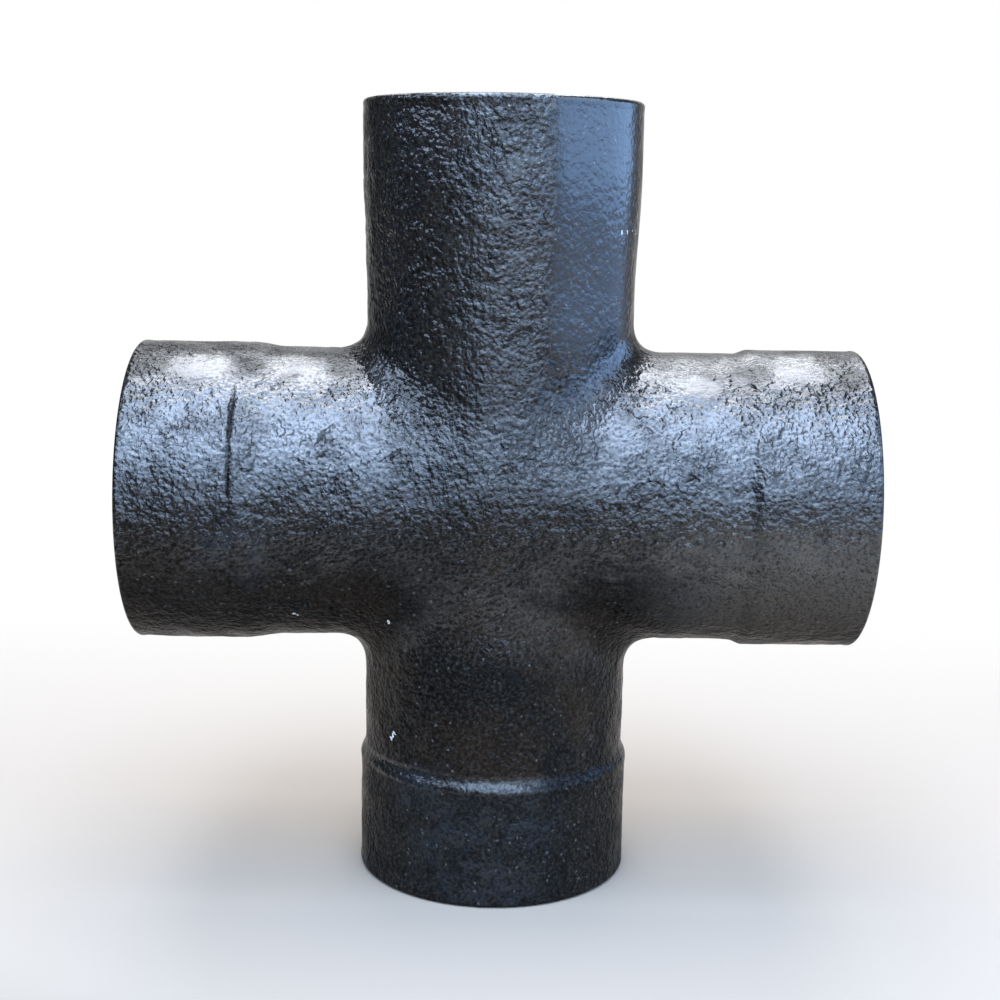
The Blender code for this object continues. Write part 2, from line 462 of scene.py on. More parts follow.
@dataclass
class CastRelief:
    """What sand moulding and a thick coat leave on the wall: swells, lumps, wrinkles and shoulder marks."""

    cross: CrossCasting
    # The wall's points as rows of x, y, z, counted from the middle of the cross
    middle: np.ndarray

    # Swells, lumps and pimples: the spacing and the height of each
    layers: tuple[tuple[Draw, float, float], ...] = (
        (Draw.SWELL, 34 * MM, 0.34 * MM),
        (Draw.LUMP, 13 * MM, 0.20 * MM),
        (Draw.PIMPLE, 5.2 * MM, 0.13 * MM),
    )
    # Wrinkles, how steeply one falls off its crest, and how steeply a wrinkled patch falls off its edge
    wrinkle_spacing: float = 9 * MM
    wrinkle_height: float = 0.22 * MM
    wrinkle_slope: float = 3.2
    wrinkled_spacing: float = 40 * MM
    wrinkled_slope: float = 1.3
    bore_share: float = 0.5
    end_margin: float = 4 * MM
    # The relief is cut into the wall, so that its peaks stay within the plain casting
    sink: float = 0.30 * MM

    # A dark crease in the coat beside the left band, from the front up towards the top
    crease_place: float = 102.0 * MM
    crease_width: float = 0.9 * MM
    crease_depth: float = 0.6 * MM
    crease_from_deg: float = 6.0
    crease_to_deg: float = 50.0
    crease_fade_deg: tuple[float, float] = (8.0, 10.0)
    crease_wander_spacing: float = 9 * MM
    crease_wander: float = 0.3 * MM
    # It goes on faintly down to the underside
    faint_share: float = 0.25
    faint_from_deg: float = -60.0
    faint_fade_deg: float = 20.0

    # On the left the paint fills the band's shoulder to a long slope
    fill_start: float = 86.0 * MM
    fill_length: float = 15.0 * MM

    # A bead of coat that ran down the lower arm and stopped on the shoulder of its band
    bead_width: float = 2.6 * MM
    bead_height: float = 0.36 * MM
    bead_wander_spacing: float = 11 * MM
    bead_wander: float = 1.0 * MM
    bead_uneven_spacing: float = 18 * MM
    bead_share: tuple[float, float] = (0.8, 0.35)

    # How much of the relief the paint fills where it gathered: in the pool and along the bead
    pool_filling: float = 0.8
    bead_filling: float = 0.6

    def __post_init__(self) -> None:
        """Splits the points into the directions that the marks are placed by."""
        self.across, self.ahead, self.up = self.middle.T

    def heights(self) -> np.ndarray:
        """How far each point moves along its normal.

        The height is the sum of the swells, lumps and pimples, less the wrinkles and the sink, and fades to
        nought at the end faces. The crease, the fill and the bead are added on the skin, beside their bands.

        Returns:
            One height for each point.
        """
        height = (self.relief() * self.unfilled() - self.sink) * self.fade_at_ends()
        marks = self.left_crease() + self.left_fill() + self.lower_bead()
        return np.where(self.inside_bores(), self.bore_share * height, height + marks)

    def noise(self, draw: Draw, spacing: float) -> np.ndarray:
        """Noise of about -1 to 1 at each point."""
        return GradientNoise(draw).at(self.middle, spacing)

    def relief(self) -> np.ndarray:
        """Noises of three sizes, less wrinkles where a fourth changes sign within patches of a fifth.

        Returns:
            One height for each point.
        """
        layers = sum(self.noise(draw, spacing) * height for draw, spacing, height in self.layers)
        patch = eased(0.5 + self.wrinkled_slope * self.noise(Draw.WRINKLED, self.wrinkled_spacing))
        wrinkle = self.noise(Draw.WRINKLE, self.wrinkle_spacing)
        crest = np.clip(1 - self.wrinkle_slope * np.abs(wrinkle), 0, 1)
        return layers - patch * crest * self.wrinkle_height

    def unfilled(self) -> np.ndarray:
        """Share of the relief that the paint leaves: less in the pool, and within twice the bead's width.

        Returns:
            One share for each point.
        """
        pool = 1.0
        height = self.up + self.cross.middle_height
        for value, (start, stop) in ((self.across, POOL.across), (height, POOL.up)):
            pool = pool * eased((value - start) / (stop - start))
        off = (-self.up - self.cross.lower.band_start) / (2 * self.bead_width)
        return (1 - self.pool_filling * pool) * (1 - self.bead_filling * np.exp(-off * off))

    def fade_at_ends(self) -> np.ndarray:
        """Nought at an end face and one past the margin."""
        across = self.cross.run.reach - np.abs(self.across)
        return eased(np.minimum(across, self.cross.upper.reach - np.abs(self.up)) / self.end_margin)

    def inside_bores(self) -> np.ndarray:
        """Tells the waterway's side, which is nearer than half the wall to either bore.

        Returns:
            True for each point on that side.
        """
        half = self.cross.wall / 2
        in_run = np.hypot(self.ahead, self.up) < self.cross.run.bore_radius + half
        return in_run | (np.hypot(self.across, self.ahead) < self.cross.upper.bore_radius + half)

    def left_crease(self) -> np.ndarray:
        """A bell-shaped groove across the distance from the crease, between its two angles.

        Returns:
            One height for each point, below nought in the groove.
        """
        wander = self.noise(Draw.CREASE, self.crease_wander_spacing) * self.crease_wander
        off = (-self.across - self.crease_place + wander) / self.crease_width
        angle = np.degrees(np.arctan2(self.up, -self.ahead))
        front, top = self.crease_fade_deg
        whole = eased((angle - self.crease_from_deg) / front) * eased((self.crease_to_deg - angle) / top)
        below = eased((self.crease_from_deg + front - angle) / front)
        faint = self.faint_share * below * eased((angle - self.faint_from_deg) / self.faint_fade_deg)
        return -self.crease_depth * np.exp(-off * off) * np.maximum(whole, faint)

    def left_fill(self) -> np.ndarray:
        """What a long eased slope up to the left band adds above the arm's own shoulder.

        Returns:
            One height for each point.
        """
        run = self.cross.run
        slope = run.band_rise * eased((-self.across - self.fill_start) / self.fill_length)
        return np.maximum(slope - (run.skin_radius(-self.across) - run.neck_radius), 0.0)

    def lower_bead(self) -> np.ndarray:
        """A bell-shaped ridge round the lower shoulder, uneven in height.

        Returns:
            One height for each point.
        """
        wander = self.noise(Draw.BEAD_PLACE, self.bead_wander_spacing) * self.bead_wander
        off = (-self.up - self.cross.lower.band_start + wander) / self.bead_width
        usual, swing = self.bead_share
        uneven = usual + swing * self.noise(Draw.BEAD_HEIGHT, self.bead_uneven_spacing)
        return self.bead_height * np.exp(-off * off) * uneven


def vertex_normals(points: np.ndarray, quads: np.ndarray) -> np.ndarray:
    """Unit normals at the points: the sum of the crossed diagonals of the quads round each.

    Args:
        points: The mesh's points.
        quads: The quads between them.

    Returns:
        One normal for each point.
    """
    corner = points[quads]
    facing = np.cross(corner[:, 2] - corner[:, 0], corner[:, 3] - corner[:, 1])
    sums = [np.bincount(quads.reshape(-1), np.repeat(part, 4), len(points)) for part in facing.T]
    normals = np.stack(sums, axis=-1)
    return normals / np.linalg.norm(normals, axis=1, keepdims=True)


# What may feed a node's input: another node's first output, a socket, or a number
Feed = bpy.types.Node | bpy.types.NodeSocket | float


class NodeGraph:
    """The node tree of a material or a world, emptied and then built one node at a time."""

    def __init__(self, owner: bpy.types.Material | bpy.types.World) -> None:
        """Empties the tree.

        Args:
            owner: The material or world whose nodes these are.
        """
        owner.use_nodes = True
        self.tree = owner.node_tree
        self.tree.nodes.clear()

    def add_node(self, kind: str, sockets: dict | None = None, **settings) -> bpy.types.Node:
        """Adds one node.

        Args:
            kind: The node's type after "ShaderNode", such as "Bump".
            sockets: For each input, by name or number, what feeds it or the value it holds.
            **settings: Properties of the node itself, such as operation.

        Returns:
            The new node.
        """
        node = self.tree.nodes.new(f"ShaderNode{kind}")
        for name, value in settings.items():
            setattr(node, name, value)
        for name, value in (sockets or {}).items():
            source = value.outputs[0] if isinstance(value, bpy.types.Node) else value
            if isinstance(source, bpy.types.NodeSocket):
                self.tree.links.new(source, node.inputs[name])
            else:
                node.inputs[name].default_value = source
        return node

    def faded(self, share: Feed, *limits: tuple[Feed, tuple[float, float], float]) -> Feed:
        """Fades a share beyond some limits.

        Args:
            share: What is faded.
            *limits: For each limit the value it tests, the two values between which the share eases up to
                its whole, and the part of it that is left at the first one.

        Returns:
            What is left of the share.
        """
        for value, (start, stop), left in limits:
            inside = self.add_node(
                "MapRange",
                {"Value": value, "From Min": start, "From Max": stop, "To Min": left},
                interpolation_type="SMOOTHSTEP",
            )
            share = self.add_node("Math", {0: inside, 1: share}, operation="MULTIPLY")
        return share


@dataclass(frozen=True)
class Spot:
    """A round place on the casting, in metres."""

    place: tuple[float, float, float]
    radius: float


@dataclass(frozen=True)
class BituminousCoat:
    """Black bitumen paint brushed thickly over sand-cast iron.

    The paint is near-black and slightly brown, with a satin skin that floods over the sand's grain and
    breaks in the pits. The grain shows through as pebbles about two millimetres apart, which glint in the
    highlights. In the colour the grain's hollows carry painted shade and its dusty tops a painted highlight,
    the brown stains lower down also paint the ground's warm reflection, a painted bluish sheen lies on the
    lower band and under the run, and the right arm is a paler grey. Here and there the paint has wrinkled,
    holds a hard grain that carries a painted glint, or has chipped. On the right of the upper arm, on the
    lower shoulder and in a few spots on top of the run it gathered and dried smooth.
    """

    name: str = "bituminous_coat"

    # The paint's black, painted shade for the grain's hollows, brown stains that lower down also paint the
    # ground's warm reflection, dust on the grain's tops that also paints a highlight, a paler grey for the
    # right arm, painted glints on the hard grains, a painted bluish sheen, and the pale ground that shows
    # where it has chipped
    painted_shade: str = "#020202"
    black: str = "#0f0f0f"
    brown: str = "#241b13"
    dust_and_highlight: str = "#2b2927"
    pale_grey: str = "#6f675d"
    speck_and_glint: str = "#646260"
    painted_sheen: str = "#282c31"
    chip: str = "#e2e4e0"

    # Gloss of the paint and of the skin on it. A dried bitumen has an index of about 1.6; the paint's is set
    # lower and the skin's higher, because the skin takes over nearly all of the shine here
    ior: float = 1.13
    gloss_roughness: float = 0.24
    dull_roughness: float = 0.38
    skin_ior: float = 2.0
    skin_roughness: float = 0.20
    skin_relief: float = 0.60

    # How much skin is left: in the pits, between the patches, in a wrinkle, and where the grains mask it.
    # They do so as Layer Weight's Facing rises from the second value to the first, later where it gathered
    pit_range: tuple[float, float] = (0.30, 0.54)
    pit_cover: float = 0.5
    patch_cover: float = 0.62
    wrinkle_cover: float = 0.3
    masked_facing: tuple[float, float] = (0.72, 0.30)
    masked_cover: float = 0.07
    gathered_shift: float = 0.22
    # The skin thins on undersides, by how far they face down, and below a height on the branch
    under_facing: tuple[float, float] = (0.48, 0.0)
    under_cover: float = 0.08
    thin_up: tuple[float, float] = (88 * MM, 132 * MM)
    thin_cover: float = 0.15

    # Noises that the layers read: spacing in millimetres and detail. The grain is coarse moulding sand's
    noises: tuple[tuple[str, float, float], ...] = (
        ("stain", 34.0, 4.0),
        ("wrinkled", 24.0, 1.0),
        ("patch", 15.0, 3.0),
        ("mottle", 9.0, 3.0),
        ("lump", 4.5, 2.0),
        ("dash", 4.0, 1.0),
        ("grain", 1.3, 1.0),
        ("fine_grain", 1.3, 2.0),
    )
    # Patches in which the skin is brighter and smoother, and the relief's strength between and in them
    patch_range: tuple[float, float] = (0.36, 0.60)
    patch_strength: tuple[float, float] = (1.15, 0.75)

    # The relief: spacing in millimetres, and how high each kind stands
    pebble_mm: float = 2.3
    pebble_smoothness: float = 0.35
    pebble_height_mm: float = 0.30
    pebble_drift_mm: tuple[float, float] = (7.0, 3.0)
    grain_height_mm: float = 0.26
    lump_height_mm: float = 0.62
    dribble_mm: float = 1.2
    dribble_stretch: float = 3.0
    dribble_slant_deg: float = 38.0
    dribble_height_mm: float = 0.12
    # Wrinkles: thin dark creases that come in clusters, broken into dashes
    wrinkle_mm: float = 6.0
    wrinkle_drift_mm: tuple[float, float] = (3.0, 2.0)
    wrinkle_width: float = 0.065
    wrinkle_height_mm: float = 0.26
    cluster_range: tuple[float, float] = (0.50, 0.60)
    dash_range: tuple[float, float] = (0.47, 0.55)
    # The crease beside the left band: its middle, half its width, and where its ends fade
    crease_across: float = -102.0 * MM
    crease_reach: tuple[float, float] = (1.2 * MM, 0.1 * MM)
    crease_ahead: tuple[float, float] = (-8 * MM, -14 * MM)
    crease_foot: tuple[float, float] = (161 * MM, 168 * MM)
    crease_top: tuple[float, float] = (206 * MM, 198 * MM)
    # Specks: hard grains that stand through the paint, a few to the centimetre, each with a painted glint
    speck_mm: float = 3.6
    speck_drift_mm: tuple[float, float] = (1.1, 1.5)
    speck_radius: float = 0.20
    speck_height_mm: float = 0.38
    speck_share: float = 0.54

    # Where the paint gathered: the pool, the lower shoulder and spots on top of the run
    pool_smoothness: float = 0.70
    shoulder_height: float = 50.2 * MM
    shoulder_reach: tuple[float, float] = (5.0 * MM, 2.0 * MM)
    shoulder_across: tuple[float, float] = (27 * MM, 10 * MM)
    shoulder_share: float = 0.60
    shoulder_rest: float = 0.3
    spots: tuple[Spot, ...] = (
        Spot((-0.1165, -0.029, 0.2103), 0.017),
        Spot((-0.0801, -0.0255, 0.2121), 0.015),
        Spot((0.078, -0.036, 0.206), 0.014),
        Spot((0.116, -0.022, 0.214), 0.018),
    )
    spot_drift_mm: tuple[float, float] = (8.0, 9.0)
    spot_core: float = 0.35
    spot_share: float = 0.8
    # The skin is worn at the front of the crossing, and thin between the spots on top of the run
    worn: tuple[Spot, ...] = (Spot((0.0, -0.060, 0.172), 0.078),)
    worn_core: float = 0.2
    worn_share: float = 0.30
    gaps: tuple[Spot, ...] = (
        Spot((-0.138, -0.027, 0.2115), 0.016),
        Spot((-0.098, -0.027, 0.2115), 0.013),
        Spot((-0.060, -0.024, 0.2120), 0.016),
        Spot((0.098, -0.027, 0.2115), 0.014),
        Spot((0.138, -0.030, 0.2105), 0.013),
    )
    gap_share: float = 0.6
    # A painted bluish sheen, a soft reflection painted into the colour, on the lower band and on the
    # undersides of the run
    painted_sheen_spots: tuple[Spot, ...] = (
        Spot((-0.014, -0.052, 0.026), 0.030),
        Spot((0.014, -0.052, 0.034), 0.022),
        Spot((-0.028, -0.046, 0.044), 0.018),
        Spot((0.002, -0.054, 0.004), 0.030),
        Spot((-0.098, -0.0585, 0.144), 0.024),
        Spot((0.078, -0.0450, 0.118), 0.028),
    )
    sheen_drift_mm: tuple[float, float] = (9.0, 16.0)
    sheen_core: float = 0.15
    sheen_share: float = 0.85
    sheen_range: tuple[float, float] = (0.36, 0.58)
    sheen_rest: float = 0.2
    chips: tuple[Spot, ...] = (
        Spot((-0.0400, -0.0358, 0.0652), 0.0009),
        Spot((-0.0406, -0.0351, 0.0640), 0.0009),
        Spot((-0.0412, -0.0344, 0.0626), 0.0010),
        Spot((-0.0790, -0.0408, 0.1148), 0.0009),
        Spot((-0.0778, -0.0402, 0.1142), 0.0009),
        Spot((-0.0424, -0.0410, 0.1122), 0.0012),
        Spot((0.0456, -0.0304, 0.2643), 0.0008),
        Spot((0.0482, -0.0262, 0.2642), 0.0009),
        Spot((0.0506, -0.0214, 0.2644), 0.0008),
        Spot((0.0524, -0.0165, 0.2642), 0.0008),
    )
    chip_drift_mm: tuple[float, float] = (1.4, 2.2)
    chip_core: float = 0.7

    # Brown stains grow from the upper height down, and so also paint the ground's warm reflection on the
    # lower parts, and keep off the lower band
    stain_range: tuple[float, float] = (0.38, 0.60)
    ground_tint_up: tuple[float, float] = (175 * MM, 105 * MM)
    brown_foot: tuple[float, float] = (44 * MM, 56 * MM)
    brown_rest: tuple[float, float] = (0.25, 0.15)
    # The right arm is a paler grey, from the first place outwards and below the first height
    pale_across: tuple[float, float] = (45 * MM, 95 * MM)
    pale_up: tuple[float, float] = (168 * MM, 132 * MM)
    pale_foot: tuple[float, float] = (98 * MM, 130 * MM)
    pale_share: float = 0.62
    pale_rest: float = 0.25
    # Painted shade darkens the grain's hollows, and its dusty tops are also painted lighter as a highlight
    shaded_hollow_range: tuple[float, float] = (0.30, 0.58)
    shade_depth: float = 0.75
    dusty_lit_range: tuple[float, float] = (0.54, 0.70)


class CoatNodes(NodeGraph):
    """The nodes of the coat's material. A method adds those of one layer and answers what they carry."""

    # A noise, or the distance to a cell's middle, runs over about this much
    NOISE_SPAN = 0.5

    def __init__(self, coat: BituminousCoat) -> None:
        """Starts the material on Object coordinates, which are the part's own metres.

        Args:
            coat: The coat's colours, sizes and places.
        """
        self.coat = coat
        self.material = bpy.data.materials.new(coat.name)
        super().__init__(self.material)
        self.place = self.add_node("TexCoord").outputs["Object"]
        self.across, self.ahead, self.up = self.add_node("SeparateXYZ", {"Vector": self.place}).outputs
        self.noise = {
            name: self.add_node(
                "TexNoise", {"Vector": self.place, "Scale": 1 / (spacing_mm * MM), "Detail": detail}
            )
            for name, spacing_mm, detail in coat.noises
        }
        self.gathered = self.gathered_paint()
        self.patch = self.faded(1.0, (self.noise["patch"], coat.patch_range, 0.0))
        self.wrinkle = self.wrinkles()
        self.speck_and_glint = self.specks()

    def finished(self) -> bpy.types.Material:
        """Joins the layers in one shader.

        Returns:
            The coat's material.
        """
        coat = self.coat
        height = self.relief()
        strength = self.relief_strength()
        body, skin = (
            self.add_node("Bump", {"Height": height, "Distance": distance, "Strength": strength})
            for distance in (MM, coat.skin_relief * MM)
        )
        roughness = self.add_node(
            "MapRange",
            {"Value": self.patch, "To Min": coat.dull_roughness, "To Max": coat.gloss_roughness},
        )
        shader = self.add_node(
            "BsdfPrincipled",
            {
                "Base Color": self.colour(),
                "Roughness": roughness,
                "IOR": coat.ior,
                "Normal": body,
                "Coat Weight": self.skin_cover(),
                "Coat IOR": coat.skin_ior,
                "Coat Roughness": coat.skin_roughness,
                "Coat Normal": skin,
            },
        )
        self.add_node("OutputMaterial", {"Surface": shader})
        return self.material

    def warped(self, drift_mm: tuple[float, float]) -> Feed:
        """The place, shifted every way by a noise.

        Args:
            drift_mm: The noise's spacing, and how far it shifts.

        Returns:
            What carries the shifted place.
        """
        spacing_mm, reach_mm = drift_mm
        noise = self.add_node(
            "TexNoise", {"Vector": self.place, "Scale": 1 / (spacing_mm * MM), "Detail": 1.0}
        ).outputs["Color"]
        centred = self.add_node("VectorMath", {0: noise, 1: (0.5, 0.5, 0.5)}, operation="SUBTRACT")
        reach = (reach_mm * MM,) * 3
        return self.add_node("VectorMath", {0: centred, 1: reach, 2: self.place}, operation="MULTIPLY_ADD")

    def near_spots(self, place: Feed, spots: tuple[Spot, ...], core: float, share: float) -> Feed:
        """How far inside the nearest spot a place lies.

        Args:
            place: The coordinates, warped so that the spots' outlines wander.
            spots: The round places.
            core: Share of a spot's radius up to which the answer stays highest.
            share: The answer at the middle of a spot.

        Returns:
            What falls from the share to nought at a spot's radius.
        """
        highest: Feed = 0.0
        for spot in spots:
            distance = self.add_node("VectorMath", {0: place, 1: spot.place}, operation="DISTANCE")
            near = self.faded(share, (distance.outputs["Value"], (spot.radius, core * spot.radius), 0.0))
            highest = self.add_node("Math", {0: near, 1: highest}, operation="MAXIMUM")
        return highest

    def away_from(self, value: Feed, middle: float) -> Feed:
        """How far a value lies from a middle, either way."""
        off = self.add_node("Math", {0: value, 1: -middle}, operation="ADD")
        return self.add_node("Math", {0: off}, operation="ABSOLUTE")

    def gathered_paint(self) -> Feed:
        """Tells where the paint gathered and dried smooth: in the pool, on the shoulder and in spots.

        Returns:
            One there, and nought elsewhere.
        """
        coat = self.coat
        pool = self.faded(1.0, (self.across, POOL.across, 0.0), (self.up, POOL.up, 0.0))
        shoulder = self.faded(
            coat.shoulder_share,
            (self.away_from(self.up, coat.shoulder_height), coat.shoulder_reach, 0.0),
            (self.across, coat.shoulder_across, coat.shoulder_rest),
        )
        spots = self.near_spots(self.warped(coat.spot_drift_mm), coat.spots, coat.spot_core, coat.spot_share)
        for share in (shoulder, spots):
            pool = self.add_node("Math", {0: pool, 1: share}, operation="MAXIMUM")
        return pool

    def wrinkles(self) -> Feed:
        """Tells where the thin creases are: where a noise passes its middle value.

        They come in the clusters of a second noise, broken into dashes by a third, and none where the paint
        gathered. The crease beside the left band is added.

        Returns:
            One along a crease, and nought beside it.
        """
        coat = self.coat
        noise = self.add_node(
            "TexNoise",
            {
                "Vector": self.warped(coat.wrinkle_drift_mm),
                "Scale": 1 / (coat.wrinkle_mm * MM),
                "Detail": 1.0,
            },
        )
        bare = self.add_node("Math", {0: 1.0, 1: self.gathered}, operation="SUBTRACT")
        lines = self.faded(
            bare,
            (self.away_from(noise, 0.5), (coat.wrinkle_width, 0.0), 0.0),
            (self.noise["wrinkled"], coat.cluster_range, 0.0),
            (self.noise["dash"], coat.dash_range, 0.0),
        )
        crease = self.faded(
            1.0,
            (self.away_from(self.across, coat.crease_across), coat.crease_reach, 0.0),
            (self.ahead, coat.crease_ahead, 0.0),
            (self.up, coat.crease_foot, 0.0),
            (self.up, coat.crease_top, 0.0),
        )
        return self.add_node("Math", {0: lines, 1: crease}, operation="MAXIMUM")

    def specks(self) -> Feed:
        """Small cones in the middle of about every other cell of a pattern, which also place painted glints.

        Returns:
            One at a cone's tip, and nought beside it.
        """
        coat = self.coat
        cells = self.add_node(
            "TexVoronoi", {"Vector": self.warped(coat.speck_drift_mm), "Scale": 1 / (coat.speck_mm * MM)}
        ).outputs
        cone = self.add_node(
            "MapRange", {"Value": cells["Distance"], "From Min": coat.speck_radius, "From Max": 0.0}
        )
        chosen = self.add_node("Math", {0: cells["Color"], 1: coat.speck_share}, operation="GREATER_THAN")
        return self.add_node("Math", {0: cone, 1: chosen}, operation="MULTIPLY")

    def skin_cover(self) -> Feed:
        """How much of the glossy skin shows.

        It is whole where the paint gathered and on the grains, weaker between the patches, and broken in the
        pits and wrinkles. The grains hide it where the surface is seen edge on, and it is thin on undersides
        and on the lower neck, where the brush hardly reached.

        Returns:
            The skin's share, from nought to one.
        """
        coat = self.coat
        start, stop = coat.pit_range
        pits = {"Value": self.noise["grain"], "From Min": start, "From Max": stop, "To Min": coat.pit_cover}
        cover = self.add_node("MapRange", pits)
        patchy = self.add_node("MapRange", {"Value": self.patch, "To Min": coat.patch_cover})
        broken = self.add_node("Math", {0: cover, 1: patchy}, operation="MULTIPLY")
        whole = self.add_node("Math", {0: broken, 1: self.gathered}, operation="MAXIMUM")
        worn = self.near_spots(self.place, coat.worn, coat.worn_core, 1.0)
        gap = self.near_spots(self.warped(coat.spot_drift_mm), coat.gaps, coat.worn_core, 1.0)
        facing = self.add_node("LayerWeight", {"Blend": 0.5}).outputs["Facing"]
        edge = self.add_node(
            "Math", {0: self.gathered, 1: -coat.gathered_shift, 2: facing}, operation="MULTIPLY_ADD"
        )
        normal = self.add_node("NewGeometry").outputs["True Normal"]
        upward = self.add_node("SeparateXYZ", {"Vector": normal}).outputs["Z"]
        down = self.add_node("Math", {0: upward, 1: -1.0}, operation="MULTIPLY")
        share = self.faded(
            whole,
            (edge, coat.masked_facing, coat.masked_cover),
            (down, coat.under_facing, coat.under_cover),
            (self.wrinkle, (1.0, 0.0), coat.wrinkle_cover),
            (worn, (1.0, 0.0), 1 - coat.worn_share),
        )
        for limit in (
            (self.up, coat.thin_up, coat.thin_cover),
            (gap, (1.0, 0.0), 1 - coat.gap_share),
        ):
            kept = self.add_node("Math", {0: self.faded(1.0, limit), 1: self.gathered}, operation="MAXIMUM")
            share = self.add_node("Math", {0: share, 1: kept}, operation="MULTIPLY")
        return share

    def relief_strength(self) -> Feed:
        """How strong the relief is: weak where the paint gathered, and weaker in the patches than between.

        Returns:
            The strength of both bumps.
        """
        coat = self.coat
        smooth = self.add_node(
            "Math", {0: self.gathered, 1: -coat.pool_smoothness, 2: 1.0}, operation="MULTIPLY_ADD"
        )
        between, within = coat.patch_strength
        patchy = self.add_node("MapRange", {"Value": self.patch, "To Min": between, "To Max": within})
        return self.add_node("Math", {0: smooth, 1: patchy}, operation="MULTIPLY")

    def colour(self) -> Feed:
        """Black paint and its marks, with light and shade painted into some of them.

        Brown stains, which lower down also paint the ground's warm reflection, a painted bluish sheen, a
        paler grey on the right arm, painted shade in the grain's hollows, dusty grain tops painted lighter
        as a highlight, hard grains with a painted glint, and chips.

        Returns:
            The colour.
        """
        coat = self.coat
        # Brown stains, stronger lower down, where they also paint the ground's warm reflection
        stained_and_ground_tinted = self.faded(
            1.0,
            (self.noise["stain"], coat.stain_range, 0.0),
            (self.up, coat.ground_tint_up, coat.brown_rest[0]),
            (self.up, coat.brown_foot, coat.brown_rest[1]),
        )
        # Spots of painted bluish sheen, a soft reflection painted into the colour
        painted_sheen_spots = self.near_spots(
            self.warped(coat.sheen_drift_mm), coat.painted_sheen_spots, coat.sheen_core, coat.sheen_share
        )
        # A paler grey on the lower right arm
        paled = self.faded(
            coat.pale_share,
            (self.across, coat.pale_across, 0.0),
            (self.up, coat.pale_up, 0.0),
            (self.up, coat.pale_foot, coat.pale_rest),
        )
        # From the fine grain: painted shade in its hollows, and dust with a painted highlight on its tops
        grain = {"Value": self.noise["fine_grain"]}
        start, stop = coat.shaded_hollow_range
        ends = {"From Min": start, "From Max": stop, "To Min": coat.shade_depth, "To Max": 0.0}
        shaded_hollows = self.add_node("MapRange", grain | ends)
        start, stop = coat.dusty_lit_range
        dusty_lit_tops = self.add_node("MapRange", grain | {"From Min": start, "From Max": stop})
        body: Feed | tuple = linear_colour(coat.black)
        for share, layer in (
            (stained_and_ground_tinted, coat.brown),
            (self.faded(painted_sheen_spots, (self.noise["mottle"], coat.sheen_range, coat.sheen_rest)), coat.painted_sheen),
            (paled, coat.pale_grey),
            (shaded_hollows, coat.painted_shade),
            (dusty_lit_tops, coat.dust_and_highlight),
            # Hard grains, each with a painted glint
            (self.speck_and_glint, coat.speck_and_glint),
            (self.near_spots(self.warped(coat.chip_drift_mm), coat.chips, coat.chip_core, 1.0), coat.chip),
        ):
            mixed = self.add_node("Mix", {0: share, 6: body, 7: linear_colour(layer)}, data_type="RGBA")
            body = mixed.outputs[2]
        return body

    def relief(self) -> Feed:
        """Adds up the pebbles, grain, low lumps, short dribbles and specks, less the wrinkles.

        Returns:
            The height in millimetres.
        """
        coat = self.coat
        drifting = self.warped(coat.pebble_drift_mm)
        pebbles = self.add_node(
            "TexVoronoi",
            {"Vector": drifting, "Scale": 1 / (coat.pebble_mm * MM), "Smoothness": coat.pebble_smoothness},
            feature="SMOOTH_F1",
        )
        slant = (0.0, math.radians(coat.dribble_slant_deg), 0.0)
        stretch = (1.0, 1.0, 1 / coat.dribble_stretch)
        slanted = self.add_node("Mapping", {"Vector": drifting, "Rotation": slant, "Scale": stretch})
        dribbles = self.add_node(
            "TexNoise", {"Vector": slanted, "Scale": 1 / (coat.dribble_mm * MM), "Detail": 1.0}
        )
        total: Feed = 0.0
        for source, height in (
            (pebbles, -coat.pebble_height_mm / self.NOISE_SPAN),
            (self.noise["grain"], coat.grain_height_mm / self.NOISE_SPAN),
            (self.noise["lump"], coat.lump_height_mm / self.NOISE_SPAN),
            (dribbles, coat.dribble_height_mm / self.NOISE_SPAN),
            (self.wrinkle, -coat.wrinkle_height_mm),
            (self.speck_and_glint, coat.speck_height_mm),
        ):
            total = self.add_node("Math", {0: source, 1: height, 2: total}, operation="MULTIPLY_ADD")
        return total


@dataclass(frozen=True)
class Softbox:
    """A soft rectangular studio light that points at the middle of the casting."""

    name: str
    place: tuple[float, float, float]
    width: float
    depth: float
    radiance: float
    colour: str

    def build(self, target: np.ndarray) -> None:
        """Adds the light. Its power is its radiance times pi times its area.

        Args:
            target: The point it faces.
        """
        lamp = bpy.data.lights.new(self.name, "AREA")
        lamp.shape = "RECTANGLE"
        lamp.size = self.width
        lamp.size_y = self.depth
        lamp.energy = self.radiance * math.pi * self.width * self.depth
        lamp.color = linear_colour(self.colour)[:3]
        light = bpy.data.objects.new(self.name, lamp)
        light.matrix_world = self.facing(target)
        light.visible_camera = False
        bpy.context.scene.collection.objects.link(light)

    def facing(self, target: np.ndarray) -> Matrix:
        """The light's placement: its -Z looks at the target, and its X is level.

        Args:
            target: The point it faces.

        Returns:
            The placement in the world.
        """
        place = np.array(self.place)
        back = place - target
        back = back / np.linalg.norm(back)
        level = np.cross((0.0, 0.0, 1.0), back)
        level = level / np.linalg.norm(level)
        return placement(level, np.cross(back, level), back, place)


def placement(*columns: np.ndarray) -> Matrix:
    """A world matrix from its columns: where X, Y and Z point, and the place."""
    return Matrix([*np.stack(columns, axis=-1).tolist(), [0.0, 0.0, 0.0, 1.0]])


